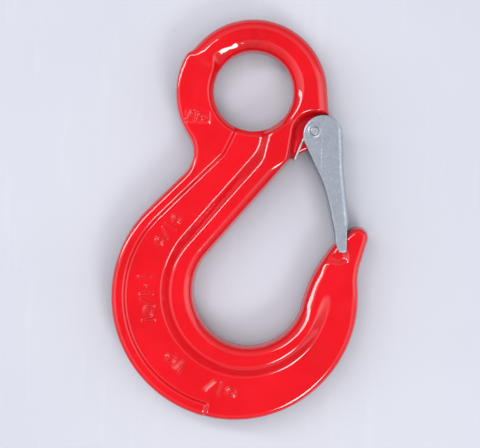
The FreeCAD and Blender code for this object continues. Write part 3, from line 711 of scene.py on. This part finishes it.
def cheek_loop():
    left_start = polar(CROWN, CROWN_RADIUS, CHEEK_HEADING)
    bow_start = polar(left_start, CHEEK_STRAIGHT, CHEEK_HEADING + 90)
    bow = polar(bow_start, BOW_RADIUS, CHEEK_HEADING)
    bow_end = polar(bow, BOW_RADIUS, BOW_END)
    finger_left = polar(bow_end, FINGER_LENGTH, BOW_END - 90)
    finger_low = polar(finger_left, FINGER_DEPTH, FINGER_HEADING)
    shoulder = spine_point(SPINE_END) - SHOULDER_STEP
    toe_left, toe_right = [complex(shoulder.real - inset, TOE_LEVEL) for inset in TOE_INSETS]
    return [
        arc(CROWN, CROWN_RADIUS, 0, CHEEK_HEADING),
        line(left_start, bow_start),
        arc(bow, BOW_RADIUS, CHEEK_HEADING + 180, BOW_END),
        line(bow_end, finger_left),
        line(finger_left, finger_low),
        line(finger_low, toe_left),
        line(toe_left, toe_right),
        arc(toe_right + 1j * TOE_RADIUS, TOE_RADIUS, -90, 0),
        line(toe_right + (1 + 1j) * TOE_RADIUS, shoulder),
        line(shoulder, spine_point(SPINE_END)),
        *SPINE,
    ]


def hollow_loop():
    """The space between the cheeks: open to the left, above, and below where the point's side is."""
    tip_bearing = bearing(TIP_INNER, spine_point(REST_DROP))
    rest = polar(TIP_INNER, TIP_INNER_RADIUS + REST_GAP, tip_bearing)
    heading = tip_bearing - 90
    short_of_spine, reach = 0.1, 12
    inner_back = spine_point(REST_DROP + 1, SHEET).real - short_of_spine
    rest_end = polar(rest, (inner_back - rest.real) / math.cos(math.radians(heading)), heading)
    past_spine = polar(rest_end, reach, heading)
    left, right, below = 10, 60, -80j
    return closed([spine_point(HOLLOW_TOP, SHEET), spine_point(SPINE_BEND, SHEET), rest_end,
                   past_spine, right + below, left + below, complex(left, 0), complex(right, 0),
                   complex(right, -HOLLOW_TOP)])


def latch_solid():
    """The folded sheet: two cheeks and the spine between them, with a lip round each rivet head."""
    margin, fineness = 2, 0.1
    field = Field(LATCH_LOW - margin, LATCH_HIGH + margin, fineness)
    outline = field.signed(cheek_loop())
    hollow = field.signed(hollow_loop())
    off_spine = distance_to(SPINE, field.x, field.y)
    least_fade, more_fade = BEND_FADE
    fade = least_fade + more_fade * smooth_step(field.y, -SPINE_BEND, BEND_FADE_END)
    on_spine = 1 - smooth_step((off_spine - abs(outline)) / fade)
    edge = CUT_RADIUS + (BEND_RADIUS - CUT_RADIUS) * on_spine
    lip_middle = 8.4
    lip_half = LATCH_HIGH[2] - lip_middle
    hole_radius = HEAD_RADIUS + 0.15
    small_edge, lip_edge = 0.25, 0.3

    def solid(x, y, z):
        level = abs(z)
        off_pin = np.hypot(x - PIN.real, y - PIN.imag)
        side = level - LATCH_HEIGHT
        sheet = round_max(field.look(outline, x, y), side, field.look(edge, x, y))
        inside = round_max(field.look(hollow, x, y), side + SHEET, BEND_RADIUS - SHEET)
        channel = round_max(sheet, -inside, small_edge)
        lip = round_max(off_pin - LIP_RADIUS, abs(level - lip_middle) - lip_half, lip_edge)
        return round_max(round_min(channel, lip, small_edge), hole_radius - off_pin, small_edge)

    return solid


def pin_solid():
    """The rivet: a shank between the cheeks, and low domed heads that stand in the cheeks' holes."""
    shank_radius = PIN_RADIUS - 0.12
    shank_height = LATCH_HEIGHT - SHEET - 0.15
    dome = 0.02
    head_edge, shank_edge, neck_edge = 0.35, 0.3, 0.2

    def solid(x, y, z):
        off_pin = np.hypot(x - PIN.real, y - PIN.imag)
        end = abs(z) - (PIN_HIGH - dome * off_pin ** 2)
        head = round_max(off_pin - HEAD_RADIUS, end, head_edge)
        shank = round_max(off_pin - shank_radius, abs(z) - shank_height, shank_edge)
        return round_min(head, shank, neck_edge)

    return solid


# ------------------------ meshes

def settle(solid, points, rounds):
    """Moves points straight onto a solid's surface."""
    reach, gentlest, longest = 0.02, 0.2, 0.3
    for number in range(rounds):
        x, y, z = points.T
        value = solid(x, y, z)
        slope = np.stack([solid(x + reach, y, z) - solid(x - reach, y, z),
                          solid(x, y + reach, z) - solid(x, y - reach, z),
                          solid(x, y, z + reach) - solid(x, y, z - reach)], axis=1) / (2 * reach)
        steep = np.maximum((slope ** 2).sum(axis=1), gentlest)
        move = -(value / steep)[:, None] * slope
        length = np.maximum(np.linalg.norm(move, axis=1, keepdims=True), 1e-9)
        points = points + move * np.minimum(1, longest / length)
    return points


def relax(points, faces, rounds, share):
    """Evens out a mesh by moving each point part of the way to its neighbours' middle."""
    starts = faces.ravel()
    nexts = np.roll(faces, -1, axis=1).ravel()
    count = np.bincount(starts, minlength=len(points)) + np.bincount(nexts, minlength=len(points))
    for number in range(rounds):
        total = np.zeros_like(points)
        for axis in range(3):
            total[:, axis] = (np.bincount(starts, points[nexts, axis], len(points))
                              + np.bincount(nexts, points[starts, axis], len(points)))
        points = points + share * (total / count[:, None] - points)
    return points


def new_object(name, points, faces):
    mesh = bpy.data.meshes.new(name)
    mesh.from_pydata((np.asarray(points) * METRE).tolist(), [], [list(face) for face in faces])
    mesh.polygons.foreach_set("use_smooth", [True] * len(mesh.polygons))
    mesh.update()
    item = bpy.data.objects.new(name, mesh)
    bpy.context.scene.collection.objects.link(item)
    return item


def skin(name, solid, low, high, pitch):
    """Wraps a solid in a mesh of even squares and settles it on the surface."""
    margin, band = 2.5 * pitch, 3 * pitch
    low = np.array(low) - margin
    count = np.ceil((np.array(high) + margin - low) / pitch).astype(int) + 1
    axes = [low[axis] + pitch * np.arange(count[axis]) for axis in range(3)]
    values = np.empty(count, np.float32)
    for layer, z in enumerate(axes[2]):
        x, y = np.meshgrid(axes[0], axes[1], indexing="ij")
        values[:, :, layer] = solid(x, y, np.full(x.shape, z))
    grid = openvdb.FloatGrid(background=band)
    grid.copyFromArray(np.clip(values, -band, band))
    points, quads = grid.convertToQuads(0.0)
    points = np.asarray(points, float) * pitch + low
    points = settle(solid, points, 3)
    for number in range(2):
        points = settle(solid, relax(points, quads, 2, 0.5), 3)
    return new_object(name, points, quads)


def sharpen(item, solid, wanted, cuts):
    """Divides the faces whose middles are wanted, and settles the new points on the surface."""
    mesh = bmesh.new()
    mesh.from_mesh(item.data)
    chosen = [face for face in mesh.faces if wanted(face.calc_center_median() / METRE)]
    edges = list({edge for face in chosen for edge in face.edges})
    bmesh.ops.subdivide_edges(mesh, edges=edges, cuts=cuts, use_grid_fill=True)
    mesh.to_mesh(item.data)
    mesh.free()
    points = np.zeros(len(item.data.vertices) * 3)
    item.data.vertices.foreach_get("co", points)
    points = settle(solid, points.reshape(-1, 3) / METRE, 3)
    item.data.vertices.foreach_set("co", (points * METRE).ravel())
    item.data.polygons.foreach_set("use_smooth", [True] * len(item.data.polygons))
    item.data.update()


def near_marks(point):
    """Whether a point is on the near face, close to a row of marks."""
    if point.z < 0:
        return False
    place = complex(point.x, point.y)
    along, across = MARK_MARGIN
    for middle, heading, size, spacing, kinds in MARK_ROWS:
        local = (place - middle) * polar(0, 1, -heading)
        in_length = abs(local.real) < spacing * len(kinds) / 2 + along
        if in_length and abs(local.imag) < size / 2 + across:
            return True
    return False


# ------------------------ spring wire

def rounded_path(corners, radius, steps=6):
    """Replaces each inner corner of a path by a short curve."""
    path = [corners[0]]
    most = 0.45
    for before, corner, after in zip(corners, corners[1:], corners[2:]):
        back, on = before - corner, after - corner
        reach = min(radius, np.linalg.norm(back) * most, np.linalg.norm(on) * most)
        start = corner + back / np.linalg.norm(back) * reach
        end = corner + on / np.linalg.norm(on) * reach
        for k in range(steps + 1):
            t = k / steps
            path.append((1 - t) ** 2 * start + 2 * t * (1 - t) * corner + t ** 2 * end)
    path.append(corners[-1])
    return path


def spring_path():
    """Half of the spring's middle line, from under the ear's middle to the toe on the spine."""
    clear = WIRE_RADIUS + WIRE_GAP
    bridge_gap, bridge_bend, leg_bend = 0.05, 1.1, 1.2
    level = EAR_HEIGHT + clear
    sweep = BRIDGE_HEADING - LEG_HEADING + 360
    rise = COIL_PITCH * sweep / 360
    outer = level + rise
    coil_start = polar(PIN, COIL_RADIUS, BRIDGE_HEADING + 90)
    bridge = line_meets_circle(coil_start, BRIDGE_HEADING + 180, EAR_ROOT,
                               EAR_ROOT_RADIUS - clear - bridge_gap, leaving=False)
    spine, toe = [spine_point(drop, SHEET + clear) for drop in LEG_DROPS]
    coil = []
    count = 56
    for k in range(count + 1):
        place = polar(PIN, COIL_RADIUS, BRIDGE_HEADING + 90 - sweep * k / count)
        coil.append(np.array([place.real, place.imag, level + rise * k / count]))
    first = [np.array([bridge.real, bridge.imag, 0]), np.array([bridge.real, bridge.imag, level])]
    last = [np.array([spine.real, spine.imag, outer]), np.array([toe.real, toe.imag, outer])]
    bridge_path = rounded_path(first + [coil[0]], bridge_bend)
    return bridge_path + coil[1:] + rounded_path([coil[-1]] + last, leg_bend)[1:]


def tube(path, radius, sides=12):
    """Points and faces of a round wire along a path, with domed ends."""
    path = np.array(path)
    ways = np.gradient(path, axis=0)
    ways /= np.linalg.norm(ways, axis=1, keepdims=True)
    aslant = [0.3, 0.2, 1.0]
    side = np.cross(ways[0], aslant)
    points, faces = [], []
    dome_height, dome_radius = radius * 0.5, radius * 0.6
    stations = [(path[0] - ways[0] * dome_height, ways[0], dome_radius)]
    stations += [(point, way, radius) for point, way in zip(path, ways)]
    stations += [(path[-1] + ways[-1] * dome_height, ways[-1], dome_radius)]
    for centre, way, size in stations:
        side = side - way * side.dot(way)
        side /= np.linalg.norm(side)
        other = np.cross(way, side)
        for k in range(sides):
            turn = 2 * math.pi * k / sides
            points.append(centre + size * (math.cos(turn) * side + math.sin(turn) * other))
    for ring in range(len(stations) - 1):
        for k in range(sides):
            a, b = ring * sides + k, ring * sides + (k + 1) % sides
            faces.append((a, b, b + sides, a + sides))
    faces.append(tuple(reversed(range(sides))))
    faces.append(tuple(range(len(points) - sides, len(points))))
    return points, faces


# ------------------------ materials

# linear red, green, blue and alpha
PAINT = (0.445, 0.0035, 0.008, 1)
PAINT_DEEP = (0.395, 0.003, 0.0065, 1)
PAINT_SPOT = (0.33, 0.0016, 0.003, 1)
# a darker red that is painted shade on the flare near the bore's top lip
PAINT_LIP_SHADE = (0.21, 0.0016, 0.003, 1)
PAINT_CHIP = (0.10, 0.045, 0.03, 1)
LATCH_ZINC = (0.37, 0.40, 0.46, 1)
LATCH_ZINC_DARK = (0.305, 0.335, 0.39, 1)
PIN_ZINC = (0.40, 0.43, 0.48, 1)
PIN_ZINC_DARK = (0.31, 0.335, 0.38, 1)
WIRE_ZINC = (0.58, 0.60, 0.63, 1)
WIRE_ZINC_DARK = (0.36, 0.38, 0.41, 1)
ZINC_SPECK = (0.83, 0.84, 0.84, 1)
TABLE = (0.331, 0.339, 0.378, 1)
TABLE_DARK = (0.317, 0.325, 0.364, 1)
TABLE_WIPE = (0.37, 0.376, 0.412, 1)
TABLE_SPECK = (0.19, 0.19, 0.22, 1)
# the place on the bore's lip that has worn chips and painted shade: within the first distance both are
# full, beyond the second there are none
LIP_WEAR_AND_SHADE_PLACE = (1.0, 21.5, 7.0)
LIP_WEAR_AND_SHADE_REACH = (4 * METRE, 11 * METRE)
EVEN = (1, 1, 1)
ALONG_LATCH = (2.4, 0.2, 2.4)
# wear on the latch's near cheek: where, its size, its stretch, how strong it is,
# and how bright it is beside the zinc
LATCH_WEAR = [
    ((PIN.real + 3.4, PIN.imag - 6.5, LATCH_HEIGHT), 0.26, (1, 0.022, 1), 0.8, 1.8),
    ((PIN.real + 3.6, PIN.imag - 3.5, LATCH_HEIGHT), 3.2, (1, 0.8, 1), 0.45, 0.7),
    ((PIN.real + 1.9, PIN.imag + 3.2, LATCH_HEIGHT), 0.45, (1, 1, 1), 0.9, 0.25),
    ((PIN.real - 1.5, PIN.imag + 3.4, LATCH_HEIGHT), 0.38, (1, 1, 1), 0.8, 0.3),
]


def new_material(name):
    material = bpy.data.materials.new(name)
    material.use_nodes = True
    nodes = material.node_tree.nodes
    nodes.clear()
    shader = nodes.new("ShaderNodeBsdfPrincipled")
    output = nodes.new("ShaderNodeOutputMaterial")
    material.node_tree.links.new(shader.outputs[0], output.inputs[0])
    return material, shader


class Paper:
    """Adds nodes to a material with few words."""

    def __init__(self, material):
        self.nodes = material.node_tree.nodes
        self.links = material.node_tree.links
        self.place = self.nodes.new("ShaderNodeTexCoord").outputs["Object"]

    def feed(self, socket, value):
        if isinstance(value, bpy.types.NodeSocket):
            self.links.new(value, socket)
        else:
            socket.default_value = value

    def noise(self, size, detail=3.0, roughness=0.55, stretch=None):
        """Noise whose features are about this size in millimetres."""
        node = self.nodes.new("ShaderNodeTexNoise")
        self.feed(node.inputs["Vector"], self.stretched(stretch) if stretch else self.place)
        self.feed(node.inputs["Scale"], 1 / (size * METRE))
        self.feed(node.inputs["Detail"], detail)
        self.feed(node.inputs["Roughness"], roughness)
        return node.outputs["Fac"]

    def stretched(self, scale):
        node = self.nodes.new("ShaderNodeMapping")
        self.feed(node.inputs["Vector"], self.place)
        self.feed(node.inputs["Scale"], scale)
        return node.outputs[0]

    def remap(self, value, low, high, new_low=0.0, new_high=1.0):
        node = self.nodes.new("ShaderNodeMapRange")
        self.feed(node.inputs["Value"], value)
        for name, number in zip(("From Min", "From Max", "To Min", "To Max"),
                                (low, high, new_low, new_high)):
            self.feed(node.inputs[name], number)
        return node.outputs["Result"]

    def combine(self, kind, one, two):
        node = self.nodes.new("ShaderNodeMath")
        node.operation = kind
        self.feed(node.inputs[0], one)
        self.feed(node.inputs[1], two)
        return node.outputs[0]

    def mix(self, share, one, two):
        node = self.nodes.new("ShaderNodeMix")
        node.data_type = "RGBA"
        self.feed(node.inputs["Factor"], share)
        self.feed(node.inputs[6], one)
        self.feed(node.inputs[7], two)
        return node.outputs[2]

    def bump(self, height, strength, depth, below=None):
        """Bumps whose height map stands for this depth in millimetres."""
        node = self.nodes.new("ShaderNodeBump")
        self.feed(node.inputs["Strength"], strength)
        self.feed(node.inputs["Distance"], depth * METRE)
        self.feed(node.inputs["Height"], height)
        if below:
            self.feed(node.inputs["Normal"], below)
        return node.outputs[0]

    def distance_from(self, point, stretch=(1, 1, 1)):
        """Metres from a point in millimetres: a stretch below 1 makes that direction count for less."""
        node = self.nodes.new("ShaderNodeVectorMath")
        node.operation = "DISTANCE"
        self.feed(node.inputs[0], self.stretched(stretch))
        self.feed(node.inputs[1], [value * scale * METRE for value, scale in zip(point, stretch)])
        return node.outputs["Value"]


def red_paint():
    material, shader = new_material("hook_paint")
    paper = Paper(material)
    broad = paper.noise(24, 2)
    fine = paper.noise(2.2, 4)
    colour = paper.mix(paper.remap(broad, 0.35, 0.65), PAINT, PAINT_DEEP)
    colour = paper.mix(paper.remap(fine, 0.62, 0.78, 0, 0.35), colour, PAINT_SPOT)
    near_lip = paper.remap(paper.distance_from(LIP_WEAR_AND_SHADE_PLACE), *LIP_WEAR_AND_SHADE_REACH, 1, 0)
    # painted shade: patches of darker red on the flare near the bore's top lip; the chips below are wear
    lip_shade = paper.combine("MULTIPLY", near_lip, paper.remap(paper.noise(3.5, 4), 0.42, 0.7, 0, 0.5))
    colour = paper.mix(lip_shade, colour, PAINT_LIP_SHADE)
    speck = paper.remap(paper.noise(0.9, 3), 0.665, 0.70)
    chip = paper.combine("MULTIPLY", near_lip, speck)
    colour = paper.mix(chip, colour, PAINT_CHIP)
    paper.feed(shader.inputs["Base Color"], colour)
    rough = paper.remap(paper.noise(7, 3), 0.3, 0.7, 0.45, 0.6)
    bare = paper.combine("MULTIPLY", chip, 0.3)
    paper.feed(shader.inputs["Roughness"], paper.combine("ADD", rough, bare))
    paper.feed(shader.inputs["Specular IOR Level"], 0.0)
    paper.feed(shader.inputs["Coat Weight"], paper.remap(chip, 0, 1, 1, 0.2))
    paper.feed(shader.inputs["Coat IOR"], 1.6)
    paper.feed(shader.inputs["Coat Roughness"], paper.remap(paper.noise(9, 3), 0.3, 0.7, 0.03, 0.09))
    peel = paper.bump(paper.noise(1.4, 2), 0.25, 0.05)
    forged = paper.bump(paper.noise(5.5, 3), 0.5, 0.16, peel)
    paper.feed(shader.inputs["Normal"], forged)
    return material


def zinc(name, colour, dark, scratch_stretch=EVEN, wear=()):
    material, shader = new_material(name)
    paper = Paper(material)
    cloudy = paper.noise(2.6, 5, 0.75)
    tone = paper.mix(paper.remap(cloudy, 0.35, 0.68), colour, dark)
    scratches = paper.remap(paper.noise(0.8, 4, 0.7, stretch=scratch_stretch), 0.60, 0.74, 0, 0.6)
    tone = paper.mix(scratches, tone, [min(1, value * 1.35) for value in colour[:3]] + [1])
    mottle = paper.remap(paper.noise(0.8, 2), 0.4, 0.62, 0, 0.5)
    tone = paper.mix(mottle, tone, [value * 0.9 for value in dark[:3]] + [1])
    speck = paper.remap(paper.noise(0.6, 2), 0.64, 0.73, 0, 0.8)
    tone = paper.mix(speck, tone, ZINC_SPECK)
    for place, radius, stretch, share, mark in wear:
        gap = paper.distance_from(place, stretch)
        share = paper.remap(gap, radius * METRE * 0.5, radius * METRE, share, 0)
        share = paper.combine("MULTIPLY", share, paper.remap(paper.noise(0.9, 3), 0.45, 0.56))
        tone = paper.mix(share, tone, [value * mark for value in colour[:3]] + [1])
    paper.feed(shader.inputs["Base Color"], tone)
    paper.feed(shader.inputs["Metallic"], 0.72)
    rough = paper.remap(paper.noise(3.0, 4), 0.3, 0.7, 0.35, 0.42)
    polish = paper.combine("MULTIPLY", speck, 0.12)
    paper.feed(shader.inputs["Roughness"], paper.combine("SUBTRACT", rough, polish))
    grain = paper.bump(paper.noise(0.9, 3, 0.7), 0.3, 0.02)
    paper.feed(shader.inputs["Normal"], paper.bump(paper.noise(9, 2), 0.03, 0.04, grain))
    return material


def floor_material():
    material, shader = new_material("table")
    paper = Paper(material)
    cloud = paper.noise(90, 2)
    tone = paper.mix(paper.remap(cloud, 0.3, 0.7), TABLE, TABLE_DARK)
    wipe = paper.remap(paper.noise(9, 4, 0.6, stretch=(1, 0.12, 1)), 0.56, 0.74, 0, 0.35)
    tone = paper.mix(wipe, tone, TABLE_WIPE)
    speck = paper.remap(paper.noise(1.2, 1), 0.775, 0.80, 0, 0.45)
    tone = paper.mix(speck, tone, TABLE_SPECK)
    paper.feed(shader.inputs["Base Color"], tone)
    paper.feed(shader.inputs["Roughness"], 0.62)
    paper.feed(shader.inputs["Normal"], paper.bump(paper.noise(2.5, 3), 0.08, 0.05))
    return material


# ------------------------ build the pieces

def finish_piece(item, material, body, node):
    item.data.materials.append(material)
    if body:
        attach(item, body)
    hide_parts(node)


def build_hook():
    solid = hook_solid()
    item = skin("hook_forging", solid, HOOK_LOW, HOOK_HIGH, HOOK_PITCH)
    sharpen(item, solid, near_marks, 2)
    finish_piece(item, red_paint(), "hook", "hook_body")


def build_latch():
    item = skin("latch_sheet", latch_solid(), LATCH_LOW, LATCH_HIGH, LATCH_PITCH)
    metal = zinc("latch_zinc", LATCH_ZINC, LATCH_ZINC_DARK, ALONG_LATCH, LATCH_WEAR)
    finish_piece(item, metal, "latch", "latch")


def build_pin():
    low, high = [np.array(corner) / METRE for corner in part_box("latch_pin")]
    item = skin("latch_rivet", pin_solid(), low, high, PIN_PITCH)
    metal = zinc("pin_steel", PIN_ZINC, PIN_ZINC_DARK)
    finish_piece(item, metal, "latch", "latch_pin")


def build_spring():
    half = spring_path()
    mirrored = [point * (1, 1, -1) for point in half[1:]]
    points, faces = tube(mirrored[::-1] + half, WIRE_RADIUS)
    item = new_object("latch_torsion_spring", points, faces)
    metal = zinc("spring_steel", WIRE_ZINC, WIRE_ZINC_DARK)
    finish_piece(item, metal, None, "latch_spring")
    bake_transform(item)


# ------------------------ floor, lights and camera

LIGHTS_MIDDLE = -60j
CAMERA_PLACE = (-4.58, -59.44, 600)
CAMERA_TURN = 1.446
CAMERA_LENS = 100
CAMERA_SENSOR = 36
# how bright the room is at each height above the horizon: a new ramp has stops for the first two
SKY = [(0.0, 0.4), (1.0, 0.07), (0.35, 0.8), (0.6, 1.2), (0.8, 1.45), (0.93, 0.1)]
SKY_TINT = (1, 1.02, 1.07)
# the room is dimmer towards +Y and -Y: where that starts and ends, and the strength there
SIDE_DIMMING = (0.1, 0.6, 1.1, 0.4)


def build_floor():
    size = 3000
    level = float(HOOK_LOW[2])
    corners = [(-size, -size, level), (size, -size, level), (size, size, level), (-size, size, level)]
    item = new_object("table_top", corners, [(0, 1, 2, 3)])
    item.data.materials.append(floor_material())


def area_light(name, heading, elevation, distance, size, power, colour):
    """A softbox aimed at the hook: its heading from there in the plane, and its elevation above it."""
    light = bpy.data.lights.new(name, "AREA")
    light.shape = "RECTANGLE"
    light.size, light.size_y = [side * METRE for side in size]
    light.energy = power
    light.color = colour
    item = bpy.data.objects.new(name, light)
    flat = polar(LIGHTS_MIDDLE, distance * math.cos(math.radians(elevation)), heading)
    item.location = Vector((flat.real, flat.imag, distance * math.sin(math.radians(elevation)))) * METRE
    aim = Vector((LIGHTS_MIDDLE.real, LIGHTS_MIDDLE.imag, 0)) * METRE - item.location
    item.rotation_euler = aim.to_track_quat("-Z", "Z").to_euler()
    bpy.context.scene.collection.objects.link(item)
    return item


def build_sky():
    world = bpy.data.worlds.new("studio")
    world.use_nodes = True
    nodes, links = world.node_tree.nodes, world.node_tree.links
    up = nodes.new("ShaderNodeSeparateXYZ")
    links.new(nodes.new("ShaderNodeTexCoord").outputs["Generated"], up.inputs[0])
    ramp = nodes.new("ShaderNodeValToRGB")
    links.new(up.outputs["Z"], ramp.inputs["Fac"])
    stops = ramp.color_ramp.elements
    for height, level in SKY[2:]:
        stops.new(height)
    for stop, (height, level) in zip(stops, sorted(SKY)):
        stop.position = height
        stop.color = [level * tint for tint in SKY_TINT] + [1]
    links.new(ramp.outputs["Color"], nodes["Background"].inputs["Color"])
    aside = nodes.new("ShaderNodeMath")
    aside.operation = "ABSOLUTE"
    links.new(up.outputs["Y"], aside.inputs[0])
    walls = nodes.new("ShaderNodeMapRange")
    links.new(aside.outputs[0], walls.inputs["Value"])
    for name, number in zip(("From Min", "From Max", "To Min", "To Max"), SIDE_DIMMING):
        walls.inputs[name].default_value = number
    links.new(walls.outputs["Result"], nodes["Background"].inputs["Strength"])
    bpy.context.scene.world = world


def build_lights():
    area_light("key_softbox", heading=-58, elevation=47, distance=1150, size=(330, 330),
               power=6.6, colour=(1.0, 0.99, 0.97))
    area_light("window_softbox", heading=152, elevation=42, distance=1100, size=(1250, 170),
               power=7.8, colour=(0.98, 0.99, 1.0))
    area_light("side_card", heading=6, elevation=24, distance=1200, size=(900, 900),
               power=1.8, colour=(1.0, 1.0, 1.0))
    fill = area_light("fill_softbox", heading=0, elevation=90, distance=1500, size=(1500, 1500),
                      power=27, colour=(1.0, 0.99, 1.0))
    fill.visible_glossy = False


def build_camera():
    camera = bpy.data.cameras.new("camera")
    camera.sensor_width = CAMERA_SENSOR
    camera.lens = CAMERA_LENS
    item = bpy.data.objects.new("camera", camera)
    item.location = Vector(CAMERA_PLACE) * METRE
    item.rotation_euler = (0, 0, math.radians(CAMERA_TURN))
    bpy.context.scene.collection.objects.link(item)
    bpy.context.scene.camera = item
    bpy.context.scene.view_settings.view_transform = "Standard"


build_hook()
build_latch()
build_pin()
build_spring()
build_floor()
build_sky()
build_lights()
build_camera()
